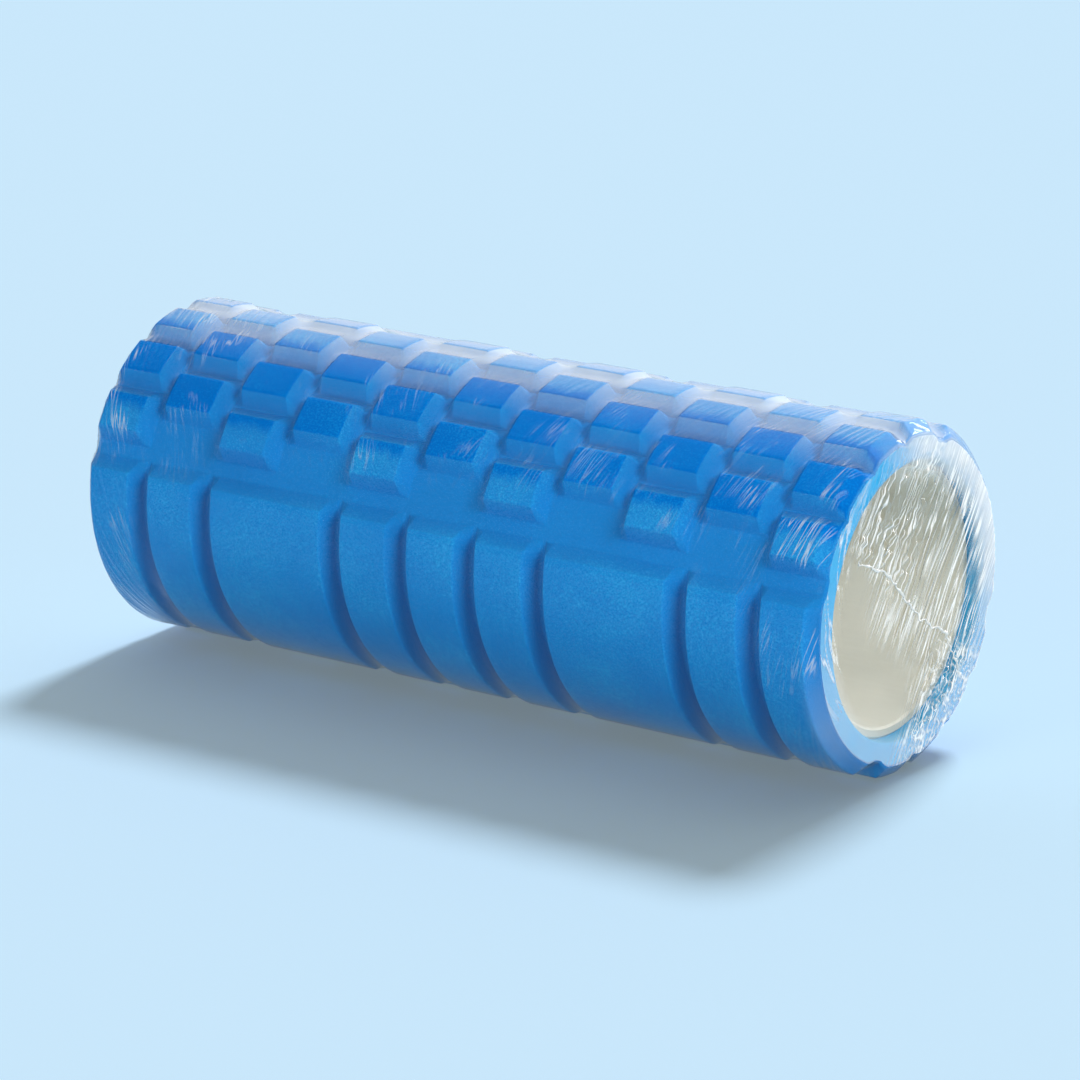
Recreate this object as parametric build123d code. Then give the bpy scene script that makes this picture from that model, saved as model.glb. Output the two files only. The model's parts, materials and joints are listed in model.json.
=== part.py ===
"""Grid-pattern foam roller in its clear shrink film.

X runs along the roller's axis, Z is up, and the origin is the middle of the roller.
Angles go round the axis from the top (+Z) towards -Y, in degrees. Lengths are in millimetres.
"""
import os
from math import cos, radians, sin

from build123d import *

# ---- foam sleeve ----
ROLLER_LENGTH = 330.0       # end face to end face
TOP_RADIUS = 65.0           # outer faces of the ribs and blocks
PAD_HEIGHT = 6.2            # from the groove floor to those faces
FOAM_WALL = 7.6             # from the bore to the groove floor

# ---- core tube ----
TUBE_WALL = 4.0
TUBE_RECESS = 5.9           # how far the tube stops short of each foam end
TUBE_EDGE_CHAMFER = 0.8
BOND_GAP = 0.1              # glue line between the tube and the foam

# ---- cells of the moulded pattern, counted along the axis ----
CELL_COUNT = 11
END_CELL_REACH = 11.5       # from the middle of an end cell to the end face
GROOVE_FLOOR = 2.1          # flat floor between two neighbouring cells
SIDE_SLOPE = 3.9            # run of a pad's sloped side, along the axis
END_SLOPE = 4.0             # run of the slope down to each end face
END_DROP = 4.4              # how far that slope drops
RIB_CELLS = [(0, 0), (1, 1), (2, 3), (4, 4), (5, 5), (6, 6), (7, 8), (9, 9), (10, 10)]

# ---- zones and rows round the axis ----
ZONE_COUNT = 2              # block zones, with a rib zone after each
BLOCK_ZONE_ANGLE = 26.0     # middle of the first block zone
ROW_COUNT = 7
ROW_STEP = 10.8             # one row to the next, which sits one cell further along
ROW_FLOOR = 0.6             # flat floor between two blocks of the same cell
BLOCK_SLOPE = 4.5           # sweep of a block's sloped side
RIB_SLOPE = 4.5             # sweep of a rib's sloped end
ZONE_FLOOR = 5.6            # flat floor between the blocks and the ribs
ROOT_DEPTH = 1.5            # how deep ribs and blocks run into the sleeve

# ---- clear shrink film ----
FILM_THICKNESS = 0.3
FILM_GAP = 0.15             # clearance to the foam
FILM_FACETS = 36            # flats round the taut film, one of them at the bottom

# ---- weld seam across each film end ----
SEAM_WIDTH = 1.2
SEAM_HEIGHT = 0.8
# (Y, Z) seen from +X, as shares of the foam's end face radius
SEAM_PATH = [(-0.61, 0.38), (-0.28, 0.25), (-0.05, 0.04), (0.16, -0.16), (0.42, -0.30), (0.61, -0.63)]

# ---- what follows from these ----
HALF_LENGTH = ROLLER_LENGTH / 2
BASE_RADIUS = TOP_RADIUS - PAD_HEIGHT
BORE_RADIUS = BASE_RADIUS - FOAM_WALL
END_RADIUS = TOP_RADIUS - END_DROP
CELL_PITCH = (ROLLER_LENGTH - 2 * END_CELL_REACH) / (CELL_COUNT - 1)
FOOT_WIDTH = CELL_PITCH - GROOVE_FLOOR
TOP_WIDTH = FOOT_WIDTH - 2 * SIDE_SLOPE
ZONE_STEP = 360 / ZONE_COUNT
BLOCK_FOOT_SWEEP = 2 * ROW_STEP - ROW_FLOOR
BLOCK_TOP_SWEEP = BLOCK_FOOT_SWEEP - 2 * BLOCK_SLOPE
BLOCK_ZONE_SWEEP = (ROW_COUNT - 1) * ROW_STEP + BLOCK_FOOT_SWEEP
RIB_ZONE_ANGLE = BLOCK_ZONE_ANGLE + ZONE_STEP / 2
RIB_FOOT_SWEEP = ZONE_STEP - BLOCK_ZONE_SWEEP - 2 * ZONE_FLOOR
RIB_TOP_SWEEP = RIB_FOOT_SWEEP - 2 * RIB_SLOPE


def tube_along_x(outer, inner, length):
    """A plain tube centred on the origin."""
    return Rot(0, 90, 0) * (Cylinder(outer, length) - Cylinder(inner, length))


def make_core_tube():
    """The stiff tube, with both ends lightly chamfered inside and out."""
    outer = BORE_RADIUS - BOND_GAP
    tube = tube_along_x(outer, outer - TUBE_WALL, ROLLER_LENGTH - 2 * TUBE_RECESS)
    rims = tube.edges().filter_by(GeomType.CIRCLE)
    return chamfer(rims, TUBE_EDGE_CHAMFER)


def pad_ring(first, last):
    """A full ring with the lengthwise section of a pad that covers cells first to last."""
    middle = (CELL_COUNT - 1) / 2
    start = (first - middle) * CELL_PITCH
    end = (last - middle) * CELL_PITCH
    section = [
        (start - FOOT_WIDTH / 2, BASE_RADIUS),
        (start - TOP_WIDTH / 2, TOP_RADIUS),
        (end + TOP_WIDTH / 2, TOP_RADIUS),
        (end + FOOT_WIDTH / 2, BASE_RADIUS),
    ]
    if first == 0:
        section[0] = (-HALF_LENGTH, END_RADIUS)
        section[1] = (-HALF_LENGTH + END_SLOPE, TOP_RADIUS)
    if last == CELL_COUNT - 1:
        section[2] = (HALF_LENGTH - END_SLOPE, TOP_RADIUS)
        section[3] = (HALF_LENGTH, END_RADIUS)
    root = BASE_RADIUS - ROOT_DEPTH
    section = [(section[0][0], root)] + section + [(section[3][0], root)]
    outline = Polyline(*[(x, 0, r) for x, r in section], close=True)
    return revolve(make_face(outline), Axis.X)


def polar(radius, angle):
    """The point at this radius and angle round the axis, at X = 0."""
    return Vector(0, -radius * sin(radians(angle)), radius * cos(radians(angle)))


def pad_sector(top_sweep, foot_sweep):
    """A wedge-like prism about the top whose two sides slope as a pad's sides do."""
    sides = []
    for side in (-1, 1):
        foot = polar(BASE_RADIUS, side * foot_sweep / 2)
        top = polar(TOP_RADIUS, side * top_sweep / 2)
        slope = top - foot
        sides.append((foot - slope, top + slope))
    crown = polar(3 * TOP_RADIUS, 0)
    corners = [sides[0][0], sides[0][1], crown, sides[1][1], sides[1][0]]
    outline = Polyline(*corners, close=True)
    return extrude(make_face(outline), amount=ROLLER_LENGTH, dir=(1, 0, 0), both=True)


def turned(shape, angle):
    """The shape turned round the axis, from the top towards -Y."""
    return Rot(angle, 0, 0) * shape


def make_ribs():
    """Both rib zones."""
    sector = pad_sector(RIB_TOP_SWEEP, RIB_FOOT_SWEEP)
    ribs = [pad_ring(first, last) & sector for first, last in RIB_CELLS]
    return [turned(rib, RIB_ZONE_ANGLE + zone * ZONE_STEP) for rib in ribs for zone in range(ZONE_COUNT)]


def make_blocks():
    """Both block zones: every second cell in a row, the next row one cell along."""
    sector = pad_sector(BLOCK_TOP_SWEEP, BLOCK_FOOT_SWEEP)
    blocks = []
    for cell in range(CELL_COUNT):
        block = pad_ring(cell, cell) & sector
        for row in range(cell % 2, ROW_COUNT, 2):
            angle = BLOCK_ZONE_ANGLE + (row - (ROW_COUNT - 1) / 2) * ROW_STEP
            blocks += [turned(block, angle + zone * ZONE_STEP) for zone in range(ZONE_COUNT)]
    return blocks


def make_foam_sleeve():
    """The moulded sleeve with its ribs and blocks, one solid."""
    sleeve = tube_along_x(BASE_RADIUS, BORE_RADIUS, ROLLER_LENGTH)
    return sleeve.fuse(*make_ribs(), *make_blocks())


def film_section(radius, x):
    """The many-sided outline of the taut film, flat at the bottom."""
    outline = RegularPolygon(radius, FILM_FACETS, major_radius=False, rotation=180 / FILM_FACETS)
    return Plane((x, 0, 0), x_dir=(0, 1, 0), z_dir=(1, 0, 0)) * outline


def film_hull(growth):
    """The solid inside the film wrap: straight facets with a taper down to each end."""
    side = TOP_RADIUS + FILM_GAP + growth
    end = END_RADIUS + FILM_GAP + growth
    reach = HALF_LENGTH + FILM_GAP
    shoulder = reach - END_SLOPE
    hull = extrude(film_section(side, -shoulder), amount=2 * shoulder)
    for direction in (-1, 1):
        hull += loft([film_section(side, direction * shoulder), film_section(end, direction * reach)])
    return hull


def make_film_wrap():
    """The film round the side of the roller."""
    return film_hull(FILM_THICKNESS) - film_hull(0)


def make_film_end(direction):
    """The flat film across one end."""
    radius = END_RADIUS + FILM_GAP + FILM_THICKNESS
    inner = HALF_LENGTH + FILM_GAP
    disc = extrude(film_section(radius, inner), amount=FILM_THICKNESS)
    return disc if direction > 0 else Rot(0, 0, 180) * disc


def make_film_seam(direction):
    """The thin welded ridge that stands on one film end."""
    base = HALF_LENGTH + FILM_GAP + FILM_THICKNESS
    points = [(base + SEAM_HEIGHT / 2, y * END_RADIUS, z * END_RADIUS) for y, z in SEAM_PATH]
    path = Spline(*points)
    start = Plane(path @ 0, x_dir=(1, 0, 0), z_dir=path % 0)
    ridge = sweep(start * Rectangle(SEAM_HEIGHT, SEAM_WIDTH), path)
    return ridge if direction > 0 else Rot(0, 0, 180) * ridge


def main():
    nodes = {
        "core_tube": make_core_tube(),
        "foam_sleeve": make_foam_sleeve(),
        "film_wrap": make_film_wrap(),
        "film_end_left": make_film_end(-1),
        "film_end_right": make_film_end(1),
        "film_seam_left": make_film_seam(-1),
        "film_seam_right": make_film_seam(1),
    }
    os.makedirs("parts", exist_ok=True)
    for name, shape in nodes.items():
        export_step(shape, f"parts/{name}.step")


main()
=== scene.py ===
"""Looks for the grid-pattern foam roller in its clear shrink film."""
import json
import math

import bpy
import numpy as np
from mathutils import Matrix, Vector

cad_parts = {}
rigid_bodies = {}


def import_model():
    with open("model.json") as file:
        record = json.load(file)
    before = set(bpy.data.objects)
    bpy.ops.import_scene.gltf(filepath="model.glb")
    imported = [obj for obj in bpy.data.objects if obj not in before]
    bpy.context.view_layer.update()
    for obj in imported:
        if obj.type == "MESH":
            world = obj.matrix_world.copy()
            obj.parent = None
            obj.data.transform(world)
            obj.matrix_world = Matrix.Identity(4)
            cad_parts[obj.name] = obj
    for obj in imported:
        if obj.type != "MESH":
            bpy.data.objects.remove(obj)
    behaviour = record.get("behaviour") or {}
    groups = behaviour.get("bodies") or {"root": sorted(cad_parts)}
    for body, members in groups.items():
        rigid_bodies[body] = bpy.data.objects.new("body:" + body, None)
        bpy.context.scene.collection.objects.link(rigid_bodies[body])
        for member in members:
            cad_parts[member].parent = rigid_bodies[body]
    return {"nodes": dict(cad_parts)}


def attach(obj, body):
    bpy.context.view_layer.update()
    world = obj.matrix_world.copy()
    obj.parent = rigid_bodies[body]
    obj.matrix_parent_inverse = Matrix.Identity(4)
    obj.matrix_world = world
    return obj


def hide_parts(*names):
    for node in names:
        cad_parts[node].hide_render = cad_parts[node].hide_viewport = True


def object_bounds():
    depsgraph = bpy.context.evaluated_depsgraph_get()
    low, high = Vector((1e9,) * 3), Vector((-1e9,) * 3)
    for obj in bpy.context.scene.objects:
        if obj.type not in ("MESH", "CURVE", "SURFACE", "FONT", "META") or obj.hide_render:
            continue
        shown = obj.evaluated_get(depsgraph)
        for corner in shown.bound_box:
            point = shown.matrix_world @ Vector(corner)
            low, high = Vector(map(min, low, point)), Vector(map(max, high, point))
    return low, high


MM = 0.001

# ---- the moulded pattern, as in the CAD model, in millimetres and degrees ----
HALF_LENGTH = 165.0
TOP_RADIUS = 65.0
PAD_HEIGHT = 6.2
BASE_RADIUS = TOP_RADIUS - PAD_HEIGHT
BORE_RADIUS = 51.2
CELL_COUNT = 11
CELL_PITCH = 30.7
FOOT_HALF = 14.3            # half of a one-cell pad at the groove floor
SIDE_SLOPE = 3.9
END_SLOPE = 4.0
END_DROP = 4.4
RIB_CELLS = [(0, 0), (1, 1), (2, 3), (4, 4), (5, 5), (6, 6), (7, 8), (9, 9), (10, 10)]
BLOCK_ZONE_ANGLE = 26.0
ROW_COUNT = 7
ROW_STEP = 10.8
BLOCK_FOOT_SWEEP = 21.0
RIB_ZONE_ANGLE = 116.0
RIB_FOOT_SWEEP = 83.0
SLOPE_SWEEP = 4.5           # sloped side of a pad, round the axis

# ---- foam surface ----
EDGE_ROUND = 0.5            # rounding of the pads' upper edges
FLOOR_ROUND = 0.95          # rounding where a pad meets the groove floor
RIM_ROUND = 1.0
EDGE_OFFSETS = (-0.55, -0.2, 0.2, 0.55)     # grid lines beside each edge
CUT_FACE_SHEEN = 1.6       # the end faces are painted paler than the moulded skin: painted sheen
MERGE_GAP = 0.24            # grid lines closer than this become one

# ---- film ----
END_CREASED = (0.3, 0.52)     # levels of noise between which an end has no creases, or all
FILM_LIFT = 0.12            # film above the foam it lies on
FILM_SAG = 0.045            # inward curvature where it bridges, per millimetre
FILM_PASSES = 500
FILM_END = HALF_LENGTH + 0.35
FILM_OFFSETS = (-0.5, 0.1, 0.7)
PLEAT_LIMIT = 0.9            # how far a pleat can stand out at an end
WRINKLED_END = 24.0         # stretch beside each end with a finer grid

WET_MIDDLE = 37.0            # middle of the stretch where the film clings to the foam, which also carries painted shade
WET_REACH = 27.0
TOP_HAZE_SHEEN_TURNS = (-80, -45, -8, 5, 15, 26, 32)      # slack film over the top is whitish, partly its haze and partly painted sheen:
TOP_HAZE_SHEEN_SHARES = (0, 0.15, 0.48, 0.34, 0.22, 0.07, 0)  # its share of white at each angle
STREAK_LEAN = 0.3            # slant of the fine wrinkles round the side

# ---- colours and light ----
# FOAM_DARK serves random tone and the painted shade deep in the narrow grooves
FOAM_DARK = (0.0004, 0.15, 0.43)
FOAM_BLUE = (0.0006, 0.22, 0.58)
# FOAM_LIGHT serves random tone and the painted sheen on the foam's end faces
FOAM_LIGHT = (0.02, 0.4, 0.72)
TUBE_END_SHADE = (0.6, 0.56, 0.45)          # painted shade on the tube's end faces
TUBE_DARK = (0.82, 0.78, 0.65)
TUBE_LIGHT = (0.93, 0.89, 0.76)
FILM_WHITE = (0.8, 0.9, 0.92)
CREASE_WHITE = (0.93, 0.92, 0.88)
CLING_AND_SHADE_TINT = (0.5, 0.82, 0.95)           # foam seen through film that clings to it: partly its wet contact, partly painted shade on the top rows
BACK_COLOUR = (0.591, 0.799, 0.956, 1)
FLOOR_COLOUR = (0.505, 0.73, 0.955, 1)
FLOOR_GLOW = (0.155, 0.175, 0.132, 1)
SKY_DIRECTION = (-0.35, 0.65, 0.67)
SKY_LOW = 0.08
SKY_HIGH = 0.65
SKY_MIRRORED = 2.1           # how much brighter the sky is in reflections
KEY_POWER = 2.3
BACK_POWER = 20
RIGHT_POWER = 30
FRONT_POWER = 5.5
LOW_POWER = 9

SEAM_PATH = [(-37.0, 23.0), (-17.0, 15.0), (-3.0, 2.4), (10.0, -10.0), (25.5, -18.0), (37.0, -38.5)]


# ------------------------------------------------------------------ small tools
def smooth_min(a, b, k):
    return np.minimum(a, b) - np.maximum(k - np.abs(a - b), 0) ** 2 / (4 * k)


def smooth_max(a, b, k):
    return -smooth_min(-a, -b, k)


def smooth_step(lo, hi, x):
    t = np.clip((x - lo) / (hi - lo), 0, 1)
    return t * t * (3 - 2 * t)


def value_noise(u, v, seed, size=64):
    """Smooth repeating noise from -1 to 1 with one bump per unit of u and v."""
    table = np.random.default_rng(seed).uniform(-1, 1, (size, size))
    iu, iv = np.floor(u).astype(int), np.floor(v).astype(int)
    fu, fv = u - iu, v - iv
    fu, fv = fu * fu * (3 - 2 * fu), fv * fv * (3 - 2 * fv)
    a, b = table[iu % size, iv % size], table[(iu + 1) % size, iv % size]
    c, d = table[iu % size, (iv + 1) % size], table[(iu + 1) % size, (iv + 1) % size]
    return (a * (1 - fu) + b * fu) * (1 - fv) + (c * (1 - fu) + d * fu) * fv


def grid_lines(edges, offsets, lo, hi, gap):
    """Positions from lo to hi: a few beside each edge, and even ones between them."""
    near = np.sort(np.add.outer(np.asarray(edges), np.asarray(offsets)).ravel())
    kept = [lo]
    for s in near[(near > lo) & (near < hi - MERGE_GAP)]:
        if s - kept[-1] > MERGE_GAP:
            kept.append(s)
    kept.append(hi)
    out = [np.linspace(a, b, max(1, round((b - a) / gap)) + 1)[:-1] for a, b in zip(kept, kept[1:])]
    return np.append(np.concatenate(out), hi)


def grid_mesh(name, points, closed_i=False, closed_j=False):
    """A quad mesh through a grid of points in millimetres, shape (i, j, 3)."""
    ni, nj = points.shape[:2]
    index = np.arange(ni * nj).reshape(ni, nj)
    if closed_i:
        index = np.vstack([index, index[:1]])
    if closed_j:
        index = np.hstack([index, index[:, :1]])
    a, b = index[:-1, :-1].ravel(), index[1:, :-1].ravel()
    c, d = index[1:, 1:].ravel(), index[:-1, 1:].ravel()
    quads = np.stack([a, b, c, d], 1)
    mesh = bpy.data.meshes.new(name)
    mesh.vertices.add(ni * nj)
    mesh.vertices.foreach_set("co", (points.reshape(-1, 3) * MM).astype(np.float32).ravel())
    mesh.loops.add(quads.size)
    mesh.loops.foreach_set("vertex_index", quads.astype(np.int32).ravel())
    mesh.polygons.add(len(quads))
    mesh.polygons.foreach_set("loop_start", np.arange(0, quads.size, 4, dtype=np.int32))
    mesh.polygons.foreach_set("use_smooth", np.ones(len(quads), bool))
    mesh.update(calc_edges=True)
    mesh.validate()
    piece = bpy.data.objects.new(name, mesh)
    bpy.context.scene.collection.objects.link(piece)
    return piece


def add_mask(piece, name, values):
    """Stores one number per vertex for a material to read."""
    layer = piece.data.attributes.new(name, "FLOAT", "POINT")
    layer.data.foreach_set("value", np.asarray(values, np.float32).ravel())


def around(x, r, degrees):
    """Points at x, radius r and the angle from the top towards -Y."""
    a = np.radians(degrees)
    x, r, a = np.broadcast_arrays(x, r, a)
    return np.stack([x, -r * np.sin(a), r * np.cos(a)], -1)


# ------------------------------------------------------------------ the foam's shape
def cell_middle(cell):
    return (cell - (CELL_COUNT - 1) / 2) * CELL_PITCH


def side_height(x, first, last):
    """Height of a pad's two sloped sides along the axis, unlimited above and below."""
    rise = PAD_HEIGHT / SIDE_SLOPE
    left = (x - (cell_middle(first) - FOOT_HALF)) * rise
    right = ((cell_middle(last) + FOOT_HALF) - x) * rise
    end_rise = END_DROP / END_SLOPE
    if first == 0:
        left = PAD_HEIGHT + (x + HALF_LENGTH - END_SLOPE) * end_rise
    if last == CELL_COUNT - 1:
        right = PAD_HEIGHT + (HALF_LENGTH - END_SLOPE - x) * end_rise
    return np.minimum(left, right)


def turn_height(degrees, middle, foot_sweep):
    """Height of a pad's two sloped sides round the axis."""
    away = np.abs((degrees - middle + 180) % 360 - 180)
    return (foot_sweep / 2 - away) * PAD_HEIGHT / SLOPE_SWEEP


def foam_height(x, degrees):
    """Height of the foam above the groove floor."""
    height = np.full(np.broadcast(x, degrees).shape, -20.0)
    for zone in (0, 180):
        across = turn_height(degrees, RIB_ZONE_ANGLE + zone, RIB_FOOT_SWEEP)
        for first, last in RIB_CELLS:
            pad = smooth_min(side_height(x, first, last), across, EDGE_ROUND)
            height = np.maximum(height, pad)
        for row in range(ROW_COUNT):
            middle = BLOCK_ZONE_ANGLE + zone + (row - (ROW_COUNT - 1) / 2) * ROW_STEP
            across = turn_height(degrees, middle, BLOCK_FOOT_SWEEP)
            for cell in range(row % 2, CELL_COUNT, 2):
                pad = smooth_min(side_height(x, cell, cell), across, EDGE_ROUND)
                height = np.maximum(height, pad)
    height = smooth_max(height, np.zeros(1), FLOOR_ROUND)
    return smooth_min(height, np.full(1, PAD_HEIGHT), EDGE_ROUND)


def foam_radius(x, degrees):
    """Outer radius of the foam, with its end edges rounded."""
    past = np.clip((np.abs(x) - (HALF_LENGTH - RIM_ROUND)) / RIM_ROUND, 0, 1)
    return BASE_RADIUS + foam_height(x, degrees) - RIM_ROUND * (1 - np.sqrt(1 - past ** 2))


def groove_shade(x, degrees):
    """Painted shade: darker foam deep in the narrow grooves between ribs, from 0 to 1."""
    depth = 1 - foam_height(x, degrees) / PAD_HEIGHT
    away = np.abs((degrees - RIB_ZONE_ANGLE + 90) % 180 - 90)
    among_ribs = 1 - smooth_step(RIB_FOOT_SWEEP / 2 - 2 * SLOPE_SWEEP, RIB_FOOT_SWEEP / 2, away)
    return np.clip(depth, 0, 1) * (0.25 + 0.75 * among_ribs)


def pattern_lines():
    """Where the pads' edges run, along the axis and round it."""
    along = [-HALF_LENGTH, -HALF_LENGTH + END_SLOPE, HALF_LENGTH - END_SLOPE, HALF_LENGTH]
    for cell in range(CELL_COUNT):
        middle = cell_middle(cell)
        for side in (-1, 1):
            along += [middle + side * FOOT_HALF, middle + side * (FOOT_HALF - SIDE_SLOPE)]
    turns = []
    for row in range(ROW_COUNT):
        middle = BLOCK_ZONE_ANGLE + (row - (ROW_COUNT - 1) / 2) * ROW_STEP
        for side in (-1, 1):
            turns += [middle + side * BLOCK_FOOT_SWEEP / 2]
            turns += [middle + side * (BLOCK_FOOT_SWEEP / 2 - SLOPE_SWEEP)]
    for side in (-1, 1):
        turns += [RIB_ZONE_ANGLE + side * RIB_FOOT_SWEEP / 2]
        turns += [RIB_ZONE_ANGLE + side * (RIB_FOOT_SWEEP / 2 - SLOPE_SWEEP)]
    along = [x for x in along if abs(x) <= HALF_LENGTH]
    return along, turns


def turn_lines(offsets, gap):
    """Angles of the grid lines round the axis, one turn."""
    start = BLOCK_ZONE_ANGLE - 45
    half = grid_lines(pattern_lines()[1], offsets, start, start + 180, gap)[:-1]
    return np.concatenate([half, half + 180])


def make_foam():
    """The sleeve as one closed skin: outside, end faces and bore."""
    x = grid_lines(pattern_lines()[0], EDGE_OFFSETS, -HALF_LENGTH, HALF_LENGTH, 4.0)
    turn = turn_lines(EDGE_OFFSETS, 2.4)
    outer = foam_radius(x[:, None], turn[None, :])
    skin = [around(x[:, None], outer, turn[None, :])]
    for side in (1, -1):
        rim = outer[-1] if side > 0 else outer[0]
        inner = BORE_RADIUS + 0.8
        ring = [around(side * HALF_LENGTH, rim + (inner - rim) * t, turn) for t in (0.05, 0.4, 0.8, 1.0)]
        ring += [around(side * (HALF_LENGTH - 0.25), BORE_RADIUS + 0.25, turn)]
        ring += [around(side * (HALF_LENGTH - d), BORE_RADIUS, turn) for d in (0.8, 4.0, 8.0, 60.0)]
        skin += [np.stack(ring if side > 0 else ring[::-1])]
    points = np.concatenate(skin)
    piece = grid_mesh("foam_grid_sleeve", points, closed_i=True, closed_j=True)
    # painted shade in the grooves and painted sheen on the end faces, read by the foam colour
    groove_shade_and_end_sheen = np.zeros(points.shape[:2])
    groove_shade_and_end_sheen[: len(x)] = 1 - groove_shade(x[:, None], turn[None, :])
    # painted sheen: the end faces get a paler foam colour
    groove_shade_and_end_sheen[len(x):] = CUT_FACE_SHEEN
    add_mask(piece, "groove_shade_and_end_sheen", groove_shade_and_end_sheen)
    return piece


# ------------------------------------------------------------------ the film's shape
def film_lines():
    """Grid lines of the film's side, finer beside the two ends."""
    edges = pattern_lines()[0]
    inner = HALF_LENGTH - WRINKLED_END
    stretches = [(-HALF_LENGTH, -inner, 0.6), (-inner, inner, 3.0), (inner, HALF_LENGTH, 0.6)]
    x = [grid_lines(edges, FILM_OFFSETS, lo, hi, gap)[:-1] for lo, hi, gap in stretches]
    return np.append(np.concatenate(x), HALF_LENGTH), turn_lines(FILM_OFFSETS, 2.4)


def spread_weights(before, after):
    """Weights of the two neighbours of a grid point in a second difference."""
    return 2 / (before * (before + after)), 2 / (after * (before + after))


def relaxed_film(x, turn):
    """Radius of a film drawn tight over the foam."""
    under = foam_radius(x[:, None], turn[None, :]) + FILM_LIFT
    film = np.full(under.shape, TOP_RADIUS + FILM_LIFT)
    step = np.diff(x)
    west, east = spread_weights(np.append(step[0], step), np.append(step, step[-1]))
    arc = np.radians(np.diff(np.append(turn, turn[0] + 360))) * TOP_RADIUS
    south, north = spread_weights(np.roll(arc, 1), arc)
    west, east = west[:, None], east[:, None]
    total = west + east + south + north
    for _ in range(FILM_PASSES):
        left, right = np.vstack([under[:1], film[:-1]]), np.vstack([film[1:], under[-1:]])
        near = west * left + east * right + south * np.roll(film, 1, 1) + north * np.roll(film, -1, 1)
        film = np.maximum(under, (near - FILM_SAG) / total)
    return film, film - under


def side_wrinkles(x, degrees):
    """Raised creases of the film round the side, only near the two ends."""
    arc = np.radians(degrees) * TOP_RADIUS
    near_end = smooth_step(HALF_LENGTH - WRINKLED_END, HALF_LENGTH - 4, np.abs(x))
    lean = STREAK_LEAN * arc * np.sign(x)
    streak = value_noise((x + lean) / 2.4, arc / 24, 3)
    streak = np.clip(1 - np.abs(streak) * 2.4, 0, 1) ** 2
    patches = np.clip(value_noise(x / 16, arc / 22, 5) + 0.3, 0, 1)
    return 0.42 * near_end * streak * patches


def make_film_side():
    x, turn = film_lines()
    gx, gt = np.meshgrid(x, turn, indexing="ij")
    film, gap = relaxed_film(x, turn)
    radius = film + side_wrinkles(gx, gt)
    tucked = []
    for side, rim in ((-1, radius[0]), (1, radius[-1])):
        tuck = [around(side * (HALF_LENGTH + 0.2), rim - 0.25, turn), around(side * FILM_END, rim - 0.9, turn)]
        tucked.append(np.stack(tuck))
    points = np.concatenate([tucked[0][::-1], around(gx, radius, gt), tucked[1]])
    piece = grid_mesh("shrink_film_side", points, closed_j=True)
    away = np.abs((turn - WET_MIDDLE + 90) % 180 - 90)
    start = 85 + 45 * smooth_step(38, 52, away)
    reach = (np.abs(points[..., 0]) - start) / (HALF_LENGTH - start)
    near_end = smooth_step(0, 1, reach)
    near_end[2:-2] += 0.45 * (1 - smooth_step(20, 30, away))
    near_end[2:-2] *= 1 - 0.65 * smooth_step(0.1, 0.8, gap)
    add_mask(piece, "near_end", near_end)
    contact = np.zeros(near_end.shape)
    contact[2:-2] = (1 - smooth_step(0.02, 0.3, gap)) * (1 - smooth_step(WET_REACH - 17, WET_REACH, away))
    add_mask(piece, "contact", contact)
    bridging = smooth_step(0.05, 0.6, np.pad(gap, ((2, 2), (0, 0)), mode="edge"))
    # white over the top rows: partly haze of the slack film, partly painted sheen
    veil = np.interp((turn + 180) % 360 - 180, TOP_HAZE_SHEEN_TURNS, TOP_HAZE_SHEEN_SHARES) * (0.35 + 0.65 * bridging)
    rim_haze = 0.13 * smooth_step(157, 163, np.abs(points[..., 0])) * smooth_step(55, 90, away)
    add_mask(piece, "haze_and_sheen", np.maximum(veil, rim_haze))
    return piece, turn, radius


def seam_frame():
    """Unit vectors along the weld seam and across it, in the (Y, Z) plane."""
    start, end = np.array(SEAM_PATH[0]), np.array(SEAM_PATH[-2])
    along = (end - start) / np.linalg.norm(end - start)
    return along, np.array([-along[1], along[0]])


def seam_sides(y, z):
    """Distances along the weld seam and across it."""
    along, across = seam_frame()
    return y * along[0] + z * along[1], y * across[0] + z * across[1]


def gathered(y, z):
    """Where the film of an end is drawn into pleats, from 0 to 1."""
    u, v = seam_sides(y, z)
    upper = smooth_step(-5, 3, v)
    fringe = smooth_step(-26, -6, v) * smooth_step(-34, -14, u)
    right = smooth_step(14, 32, u)
    return np.clip(upper + 0.75 * fringe + right, 0, 1)


def end_pleats(y, z, seed):
    """How far the film stands out over an end, gathered into pleats across the seam."""
    u, v = seam_sides(y, z)
    sway = 1.6 * value_noise(u / 30, v / 24, seed + 1)
    pleat = value_noise((u * (1 - 0.002 * v) + sway) / 1.9, v / 40 + 7, seed)
    sharp = 1 - np.minimum(np.abs(pleat) * 2.0, 1)
    crinkle = value_noise(u / 2.1, v / 2.4, seed + 2) * value_noise(u / 6 + 3, v / 7, seed + 3)
    wormy = smooth_step(4, -16, u) * smooth_step(-8, 6, v) + smooth_step(20, 34, u) * smooth_step(6, -8, v)
    broad = value_noise(u / 11, v / 38, seed + 4)
    rho = np.hypot(y, z)
    dome = -1.2 * (1 - smooth_step(20, 52, rho))
    edge = 1 - smooth_step(50, 60.5, rho)
    gather = gathered(y, z)
    wave = gather * (0.8 * sharp ** 1.5 * (1 - 0.6 * wormy) + 2.2 * wormy * crinkle) + 0.35 * broad * gather
    return dome + wave * (0.5 + 0.5 * edge)


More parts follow.
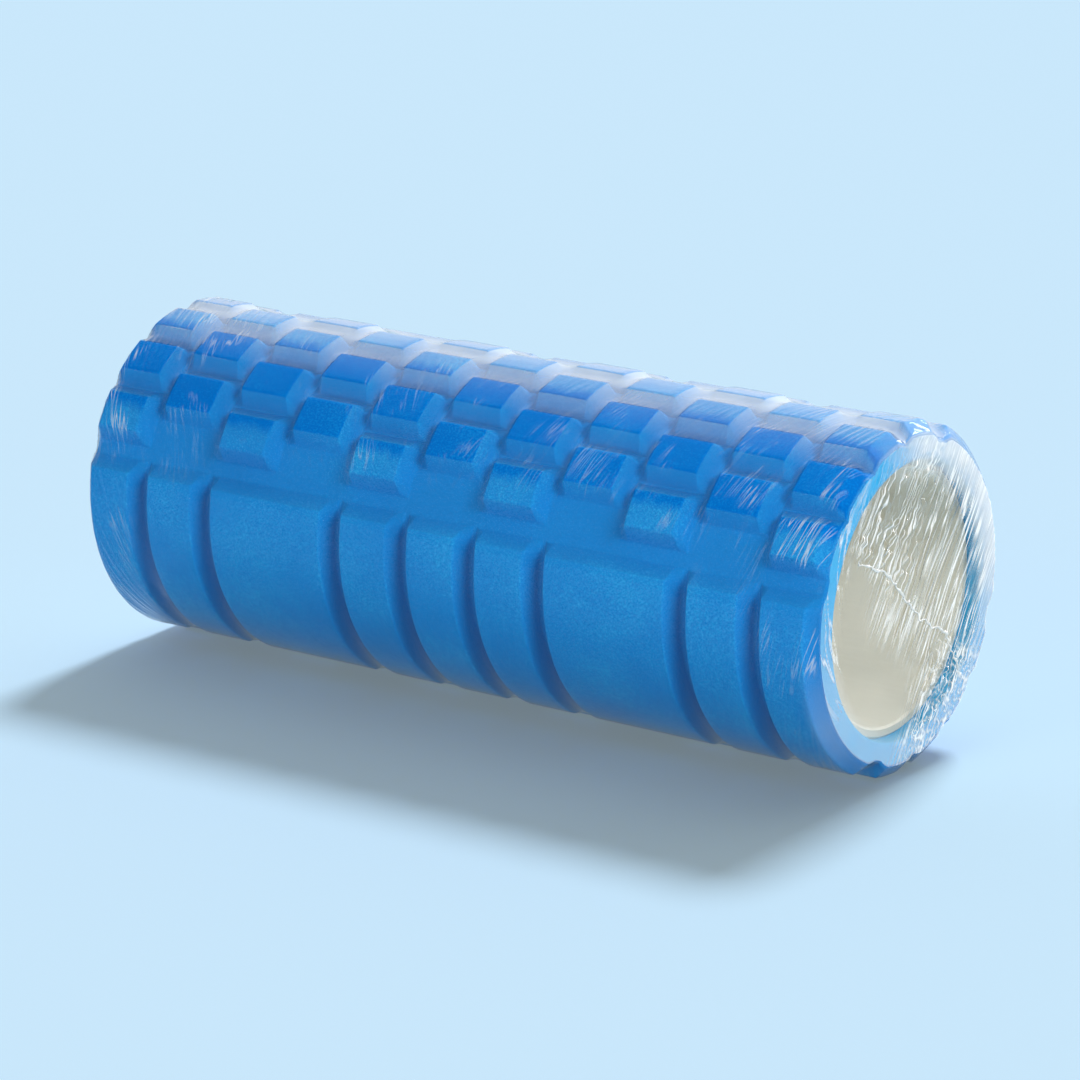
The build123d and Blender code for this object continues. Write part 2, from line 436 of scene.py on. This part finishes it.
def end_haze_and_sheen(y, z):
    """Whitish share of an end's film: thick over the upper far shoulder, thin below, partly haze and partly painted
    sheen; white in creases.
    """
    degrees = np.degrees(np.arctan2(-y, z))
    rho = np.hypot(y, z)
    rim = smooth_step(47, 60, rho)
    far = smooth_step(25, -15, degrees) * smooth_step(-125, -70, degrees)
    low = smooth_step(60, 125, np.abs(degrees))
    smooth = far * (0.38 * smooth_step(42, 50, rho) + 0.32 * rim) + 0.25 * low * smooth_step(46, 53, rho)
    u, v = seam_sides(y, z)
    crushed = smooth_step(22, 34, u) * smooth_step(5, -6, v)
    folds = np.clip(1 - np.abs(value_noise(u / 1.8, v / 1.8, 31)) * 4, 0, 1)
    wisp_place = smooth_step(25, 50, degrees) * smooth_step(128, 100, degrees) * smooth_step(44, 50, rho)
    wisps = np.clip(1 - np.abs(value_noise((degrees + 3.5 * rho) / 7, (rho - 0.3 * degrees) / 12, 37)) * 6, 0, 1)
    return np.clip(smooth + 0.65 * crushed * folds + 0.6 * wisp_place * wisps, 0, 1)


def make_film_end(side, rim_radius, rim_turn, seed):
    """The film drawn across one end, as rings that close on a small disc."""
    turn = np.linspace(0, 360, 641)[:-1]
    rim = np.interp(turn, rim_turn, rim_radius, period=360) - 0.5
    share = np.concatenate([[0.0004], np.linspace(0.02, 1, 118)])
    rho = share[:, None] * rim[None, :]
    flat = around(0.0, rho, turn[None, :])
    y, z = flat[..., 1] * side, flat[..., 2]
    points = flat.copy()
    lowest = -2.6 + 2.45 * smooth_step(45, BORE_RADIUS - 0.6, rho)
    pleats = end_pleats(y, z, seed)
    pleats = np.where(pleats > 0, PLEAT_LIMIT * np.tanh(pleats / PLEAT_LIMIT), pleats)
    points[..., 0] = side * (FILM_END + np.maximum(pleats, lowest))
    name = "shrink_film_end_right" if side > 0 else "shrink_film_end_left"
    piece = grid_mesh(name, points if side < 0 else points[:, ::-1], closed_j=True)
    haze_and_sheen = end_haze_and_sheen(y, z)
    gather = gathered(y, z) * (1 - 0.75 * smooth_step(48, 54, rho))
    add_mask(piece, "haze_and_sheen", haze_and_sheen if side < 0 else haze_and_sheen[:, ::-1])
    add_mask(piece, "near_end", gather if side < 0 else gather[:, ::-1])
    return piece


def make_seam(side, seed):
    """The crinkled weld ridge along the gathered film."""
    path = np.array(SEAM_PATH)
    gone = np.concatenate([[0], np.cumsum(np.linalg.norm(np.diff(path, axis=0), axis=1))])
    s = np.linspace(0, gone[-1], 260)
    y, z = np.interp(s, gone, path[:, 0]), np.interp(s, gone, path[:, 1])
    kernel = np.hanning(41)
    kernel /= kernel.sum()
    y = np.convolve(np.pad(y, 20, mode="edge"), kernel, "valid")
    z = np.convolve(np.pad(z, 20, mode="edge"), kernel, "valid")
    along, across = seam_frame()
    wobble = 0.8 * value_noise(s / 3.0, s * 0 + 1, seed) + 0.4 * value_noise(s / 1.2, s * 0 + 5, seed)
    y, z = y + across[0] * wobble, z + across[1] * wobble
    lift = end_pleats(y, z, seed) + 0.15
    wide = 0.42 + 0.22 * value_noise(s / 2.1, s * 0 + 9, seed)
    rows = []
    for angle in np.linspace(0, 2 * math.pi, 9)[:-1]:
        off = np.cos(angle) * wide
        out = np.sin(angle) * wide * 0.8
        rows.append(np.stack([side * (FILM_END + lift + out), (y + across[0] * off) * side, z + across[1] * off], -1))
    name = "film_weld_right" if side > 0 else "film_weld_left"
    return grid_mesh(name, np.stack(rows, 1), closed_j=True)


# ------------------------------------------------------------------ materials
class Nodes:
    """A new material's node tree, with short calls to add and link nodes."""

    def __init__(self, name):
        self.material = bpy.data.materials.new(name)
        self.material.use_nodes = True
        self.tree = self.material.node_tree
        self.tree.nodes.clear()
        self.output = self.add("ShaderNodeOutputMaterial")
        self.place = self.add("ShaderNodeTexCoord").outputs["Object"]

    def add(self, kind, **settings):
        node = self.tree.nodes.new(kind)
        for key, value in settings.items():
            setattr(node, key, value)
        return node

    def link(self, source, target):
        self.tree.links.new(source, target)

    def value(self, kind, a, b=None, c=None):
        node = self.add("ShaderNodeMath", operation=kind)
        for slot, item in enumerate((a, b, c)):
            if item is None:
                continue
            if isinstance(item, (int, float)):
                node.inputs[slot].default_value = item
            else:
                self.link(item, node.inputs[slot])
        return node.outputs[0]

    def noise(self, scale, detail=3.0, roughness=0.5, place=None):
        node = self.add("ShaderNodeTexNoise")
        node.inputs["Scale"].default_value = scale
        node.inputs["Detail"].default_value = detail
        node.inputs["Roughness"].default_value = roughness
        self.link(place or self.place, node.inputs["Vector"])
        return node.outputs["Fac"]

    def stretched(self, periods, place=None, turn=0.0):
        """Coordinates turned about X and counted in periods, given in metres."""
        node = self.add("ShaderNodeMapping", vector_type="TEXTURE")
        node.inputs["Rotation"].default_value = (turn, 0, 0)
        node.inputs["Scale"].default_value = periods
        self.link(place or self.place, node.inputs["Vector"])
        return node.outputs[0]

    def unrolled(self, lean):
        """The side laid flat: along the axis, slanted by lean, and round it."""
        parts = self.add("ShaderNodeSeparateXYZ")
        self.link(self.place, parts.inputs[0])
        angle = self.value("ARCTAN2", self.value("MULTIPLY", parts.outputs[1], -1), parts.outputs[2])
        arc = self.value("MULTIPLY", angle, TOP_RADIUS * MM)
        sign = self.value("SIGN", parts.outputs[0])
        slant = self.value("MULTIPLY", self.value("MULTIPLY", arc, lean), sign)
        flat = self.add("ShaderNodeCombineXYZ")
        self.link(self.value("ADD", parts.outputs[0], slant), flat.inputs[0])
        self.link(arc, flat.inputs[1])
        return flat.outputs[0]

    def thin_lines(self, source, sharp):
        """1 on the middle level of a noise, falling quickly to 0 beside it."""
        away = self.value("ABSOLUTE", self.value("SUBTRACT", source, 0.5))
        return self.value("MAXIMUM", self.value("MULTIPLY_ADD", away, -sharp, 1.0), 0.0)

    def mask(self, name):
        return self.add("ShaderNodeAttribute", attribute_name=name).outputs["Fac"]

    def span(self, source, lo, hi, to_lo=0.0, to_hi=1.0):
        node = self.add("ShaderNodeMapRange")
        for key, value in (("From Min", lo), ("From Max", hi), ("To Min", to_lo), ("To Max", to_hi)):
            node.inputs[key].default_value = value
        self.link(source, node.inputs["Value"])
        return node.outputs["Result"]

    def colours(self, source, *stops):
        ramp = self.add("ShaderNodeValToRGB")
        elements = ramp.color_ramp.elements
        while len(elements) < len(stops):
            elements.new(0.5)
        for element, (at, colour) in zip(elements, stops):
            element.position = at
            element.color = (*colour, 1)
        self.link(source, ramp.inputs["Fac"])
        return ramp.outputs["Color"]

    def bump(self, height, distance, strength=1.0, before=None):
        node = self.add("ShaderNodeBump")
        node.inputs["Strength"].default_value = strength
        node.inputs["Distance"].default_value = distance
        self.link(height, node.inputs["Height"])
        if before is not None:
            self.link(before, node.inputs["Normal"])
        return node.outputs["Normal"]


def foam_material():
    """Moulded EVA: matte blue skin, fine pores, painted shade on the floor of the grooves, painted sheen on the end
    faces.
    """
    n = Nodes("eva_foam_blue")
    shader = n.add("ShaderNodeBsdfPrincipled")
    shader.inputs["Specular IOR Level"].default_value = 0.12
    specks = n.noise(1500, 2)
    tone = n.value("MULTIPLY_ADD", n.noise(30, 4), 0.3, n.value("MULTIPLY_ADD", specks, 0.6, -0.1))
    # painted shade makes the grooves darker; painted sheen makes the end faces paler
    tone = n.value("MULTIPLY_ADD", n.mask("groove_shade_and_end_sheen"), 0.42, tone)
    colour = n.colours(tone, (0.3, FOAM_DARK), (0.76, FOAM_BLUE), (1.0, FOAM_LIGHT))
    n.link(colour, shader.inputs["Base Color"])
    n.link(n.span(n.noise(420, 3), 0.3, 0.7, 0.55, 0.75), shader.inputs["Roughness"])
    normal = n.bump(n.noise(2600, 2), 0.00008, 0.5)
    n.link(n.bump(n.noise(160, 3), 0.0003, 0.3, normal), shader.inputs["Normal"])
    n.link(shader.outputs[0], n.output.inputs["Surface"])
    return n.material


def tube_material():
    """Cream moulded plastic with faint draw lines along the tube, and painted shade on its end faces."""
    n = Nodes("tube_cream_plastic")
    shader = n.add("ShaderNodeBsdfPrincipled")
    lines = n.noise(1.0, 2, place=n.stretched((0.05, 0.0011, 0.0011)))
    tone = n.value("ADD", n.value("MULTIPLY", n.noise(30, 4), 0.7), n.value("MULTIPLY", lines, 0.3))
    # painted shade: faces that look along the axis, the tube's end faces, are darkened
    facing = n.add("ShaderNodeSeparateXYZ")
    n.link(n.add("ShaderNodeNewGeometry").outputs["True Normal"], facing.inputs[0])
    painted_end_shade = n.span(n.value("ABSOLUTE", facing.outputs[0]), 0.4, 0.9, 0.0, 0.62)
    tone = n.value("SUBTRACT", tone, painted_end_shade)
    colour = n.colours(tone, (0.0, TUBE_END_SHADE), (0.25, TUBE_DARK), (0.75, TUBE_LIGHT))
    n.link(colour, shader.inputs["Base Color"])
    n.link(n.span(n.noise(500, 2), 0.3, 0.7, 0.45, 0.6), shader.inputs["Roughness"])
    n.link(n.bump(lines, 0.00006, 0.4), shader.inputs["Normal"])
    n.link(shader.outputs[0], n.output.inputs["Surface"])
    return n.material


def film_material(name, colour, haze, gloss, streaks, cover):
    """Thin clear film: see-through, mirror-like at a slant, whitish along its creases and where its mask gives haze
    and painted sheen; where it clings, its tint is partly painted shade.
    """
    n = Nodes(name)
    clear = n.add("ShaderNodeBsdfTransparent")
    shine = n.add("ShaderNodeBsdfGlossy")
    shine.inputs["Roughness"].default_value = 0.06
    white = n.add("ShaderNodeBsdfDiffuse")
    white.inputs["Color"].default_value = (*colour, 1)
    place, strength, sharp = streaks(n)
    fine = n.noise(1.0, 0.6, 0.4, place)
    patches = n.span(n.noise(60, 2), *cover)
    creased = n.value("MULTIPLY", n.mask("near_end"), patches)
    lines = n.value("MULTIPLY", n.thin_lines(fine, sharp), creased)
    blots = n.noise(1.0, 3, 0.6, n.stretched((0.005, 0.016, 1), n.unrolled(STREAK_LEAN)))
    wet = n.value("MULTIPLY_ADD", n.value("SUBTRACT", blots, 0.5), 0.6, n.mask("contact"))
    dry = n.span(wet, 0.3, 0.62, 1.0, 0.0)
    # where the film clings, the foam below is tinted darker: partly wet contact, partly painted shade
    n.link(n.colours(dry, (0.0, CLING_AND_SHADE_TINT), (1.0, (1, 1, 1))), clear.inputs["Color"])
    height = n.value("MULTIPLY_ADD", fine, n.mask("near_end"), n.value("MULTIPLY", n.noise(420, 2), 0.08))
    normal = n.bump(height, 0.001, 0.75)
    slant = n.add("ShaderNodeLayerWeight")
    slant.inputs["Blend"].default_value = 0.5
    n.link(normal, slant.inputs["Normal"])
    for shader in (shine, white):
        n.link(normal, shader.inputs["Normal"])
    facing = slant.outputs["Facing"]
    steep = n.value("POWER", facing, 5.0)
    mirror = n.value("MULTIPLY", n.value("ADD", steep, gloss), n.span(dry, 0.0, 1.0, 0.35, 1.0))
    haze_sheen_share = n.value("MULTIPLY", n.value("MULTIPLY_ADD", steep, 0.25, haze), dry)
    haze_sheen_share = n.value("MULTIPLY_ADD", lines, strength, haze_sheen_share)
    cloud = n.span(n.noise(90, 3), 0.3, 0.7, 0.85, 1.1)
    # the mask's white: partly film haze, partly painted sheen over the top rows and the end shoulders
    haze_sheen_share = n.value("MULTIPLY_ADD", n.mask("haze_and_sheen"), cloud, haze_sheen_share)
    haze_sheen_share = n.value("MINIMUM", haze_sheen_share, 0.92)
    veil = n.add("ShaderNodeMixShader")
    n.link(haze_sheen_share, veil.inputs[0])
    n.link(clear.outputs[0], veil.inputs[1])
    n.link(white.outputs[0], veil.inputs[2])
    top = n.add("ShaderNodeMixShader")
    n.link(n.value("MINIMUM", mirror, 0.9), top.inputs[0])
    n.link(veil.outputs[0], top.inputs[1])
    n.link(shine.outputs[0], top.inputs[2])
    n.link(top.outputs[0], n.output.inputs["Surface"])
    return n.material


def side_streaks(n):
    return n.stretched((0.0019, 0.028, 1), n.unrolled(STREAK_LEAN)), 0.42, 24.0


def end_streaks(side):
    along, _ = seam_frame()
    turn = math.atan2(along[1], along[0] * side)

    def streaks(n):
        return n.stretched((1, 0.0017, 0.05), turn=turn), 1.1, 16.0
    return streaks


def weld_streaks(n):
    return n.stretched((0.001, 0.001, 0.001)), 0.3, 16.0


def floor_material():
    """Pale blue studio floor."""
    n = Nodes("studio_floor_pale_blue")
    matte = n.add("ShaderNodeBsdfDiffuse")
    matte.inputs["Color"].default_value = FLOOR_COLOUR
    glow = n.add("ShaderNodeEmission")
    glow.inputs["Color"].default_value = FLOOR_GLOW
    both = n.add("ShaderNodeAddShader")
    n.link(matte.outputs[0], both.inputs[0])
    n.link(glow.outputs[0], both.inputs[1])
    n.link(both.outputs[0], n.output.inputs["Surface"])
    return n.material


def give(piece, material):
    piece.data.materials.clear()
    piece.data.materials.append(material)


# ------------------------------------------------------------------ stage, lights, camera
def make_floor(level):
    size = 9.0
    mesh = bpy.data.meshes.new("floor")
    corners = [(-size, -size, level), (size, -size, level), (size, size, level), (-size, size, level)]
    mesh.from_pydata(corners, [], [(0, 1, 2, 3)])
    floor = bpy.data.objects.new("floor", mesh)
    bpy.context.scene.collection.objects.link(floor)
    give(floor, floor_material())
    return floor


def make_world():
    """Plain background; a sky for the light and the reflections, bright behind and above."""
    world = bpy.data.worlds.new("studio")
    bpy.context.scene.world = world
    world.use_nodes = True
    tree = world.node_tree
    tree.nodes.clear()
    seen = tree.nodes.new("ShaderNodeBackground")
    seen.inputs["Color"].default_value = BACK_COLOUR
    place = tree.nodes.new("ShaderNodeTexCoord")
    toward = tree.nodes.new("ShaderNodeVectorMath")
    toward.operation = "DOT_PRODUCT"
    toward.inputs[1].default_value = SKY_DIRECTION
    tree.links.new(place.outputs["Generated"], toward.inputs[0])
    level = tree.nodes.new("ShaderNodeMapRange")
    level.interpolation_type = "SMOOTHSTEP"
    for key, value in (("From Min", 0.2), ("From Max", 1.0), ("To Min", SKY_LOW), ("To Max", SKY_HIGH)):
        level.inputs[key].default_value = value
    tree.links.new(toward.outputs["Value"], level.inputs["Value"])
    fill = tree.nodes.new("ShaderNodeBackground")
    fill.inputs["Color"].default_value = (0.93, 0.95, 1.0, 1)
    path = tree.nodes.new("ShaderNodeLightPath")
    boost = tree.nodes.new("ShaderNodeMapRange")
    boost.inputs["To Min"].default_value = 1.0
    boost.inputs["To Max"].default_value = SKY_MIRRORED
    tree.links.new(path.outputs["Is Glossy Ray"], boost.inputs["Value"])
    bright = tree.nodes.new("ShaderNodeMath")
    bright.operation = "MULTIPLY"
    tree.links.new(level.outputs["Result"], bright.inputs[0])
    tree.links.new(boost.outputs["Result"], bright.inputs[1])
    tree.links.new(bright.outputs[0], fill.inputs["Strength"])
    mix = tree.nodes.new("ShaderNodeMixShader")
    out = tree.nodes.new("ShaderNodeOutputWorld")
    tree.links.new(path.outputs["Is Camera Ray"], mix.inputs[0])
    tree.links.new(fill.outputs[0], mix.inputs[1])
    tree.links.new(seen.outputs[0], mix.inputs[2])
    tree.links.new(mix.outputs[0], out.inputs[0])


def add_light(name, data, place, target):
    light = bpy.data.objects.new(name, data)
    light.location = place
    light.rotation_mode = "QUATERNION"
    light.rotation_quaternion = (Vector(target) - Vector(place)).to_track_quat("-Z", "Y")
    bpy.context.scene.collection.objects.link(light)
    return light


def soft_light(name, place, target, size, power, floor, mirrored=True):
    """A softbox that lights the object but not the floor."""
    data = bpy.data.lights.new(name, "AREA")
    data.shape = "RECTANGLE"
    data.size, data.size_y = size
    data.energy = power
    light = add_light(name, data, place, target)
    light.visible_glossy = mirrored
    unlit = bpy.data.collections.new(name + "_unlit")
    unlit.objects.link(floor)
    light.light_linking.receiver_collection = unlit
    unlit.collection_objects[0].light_linking.link_state = "EXCLUDE"


def make_lights(floor):
    sun = bpy.data.lights.new("key", "SUN")
    sun.energy = KEY_POWER
    sun.angle = math.radians(13)
    key = add_light("key", sun, (-0.18, 1.25, 1.49), (0, 0, 0))
    key.visible_glossy = False
    soft_light("back_softbox", (1.0, 1.7, 0.75), (0.1, 0, 0), (0.9, 0.35), BACK_POWER, floor)
    soft_light("right_softbox", (1.6, -0.75, 1.1), (0.1, 0, 0), (0.7, 0.7), RIGHT_POWER, floor, mirrored=False)
    soft_light("front_fill", (-1.1, -1.5, 1.1), (0, 0, 0), (1.6, 1.0), FRONT_POWER, floor, mirrored=False)
    soft_light("low_fill", (-0.1, -1.6, 0.05), (0, 0, 0), (1.6, 0.4), LOW_POWER, floor, mirrored=False)


def make_camera():
    data = bpy.data.cameras.new("camera")
    data.sensor_width = 36.0
    data.lens = 160.26
    data.clip_start, data.clip_end = 0.05, 50
    camera = bpy.data.objects.new("camera", data)
    place = Vector((1.00388, -1.41157, 0.50038))
    target = Vector((0.00392, 0, -0.00449))
    camera.location = place
    camera.rotation_mode = "QUATERNION"
    camera.rotation_quaternion = (target - place).to_track_quat("-Z", "Y")
    bpy.context.scene.collection.objects.link(camera)
    bpy.context.scene.camera = camera


# ------------------------------------------------------------------ the scene
def clear_scene():
    for item in list(bpy.data.objects):
        bpy.data.objects.remove(item)


clear_scene()
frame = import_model()
cad_low, cad_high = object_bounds()
bpy.context.scene.view_settings.view_transform = "Standard"

foam = make_foam()
give(foam, foam_material())
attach(foam, "root")
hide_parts("foam_sleeve")

give(frame["nodes"]["core_tube"], tube_material())

film_side, rim_turn, side_radius = make_film_side()
film_right = make_film_end(1, side_radius[-1], rim_turn, 11)
film_left = make_film_end(-1, side_radius[0], rim_turn, 23)
weld_right = make_seam(1, 11)
weld_left = make_seam(-1, 23)
side_look = film_material("shrink_film_clear", FILM_WHITE, 0.014, 0.011, side_streaks, (0.5, 0.66))
right_look = film_material("shrink_film_right_clear", CREASE_WHITE, 0.012, 0.06, end_streaks(1), END_CREASED)
left_look = film_material("shrink_film_left_clear", CREASE_WHITE, 0.012, 0.06, end_streaks(-1), END_CREASED)
weld_look = film_material("shrink_film_weld", CREASE_WHITE, 0.6, 0.1, weld_streaks, (0.4, 0.6))
for piece, look, nodes in (
    (film_side, side_look, ["film_wrap"]),
    (film_right, right_look, ["film_end_right"]),
    (film_left, left_look, ["film_end_left"]),
    (weld_right, weld_look, ["film_seam_right"]),
    (weld_left, weld_look, ["film_seam_left"]),
):
    give(piece, look)
    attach(piece, "root")
    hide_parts(*nodes)

floor = make_floor(cad_low.z)
make_world()
make_lights(floor)
make_camera()
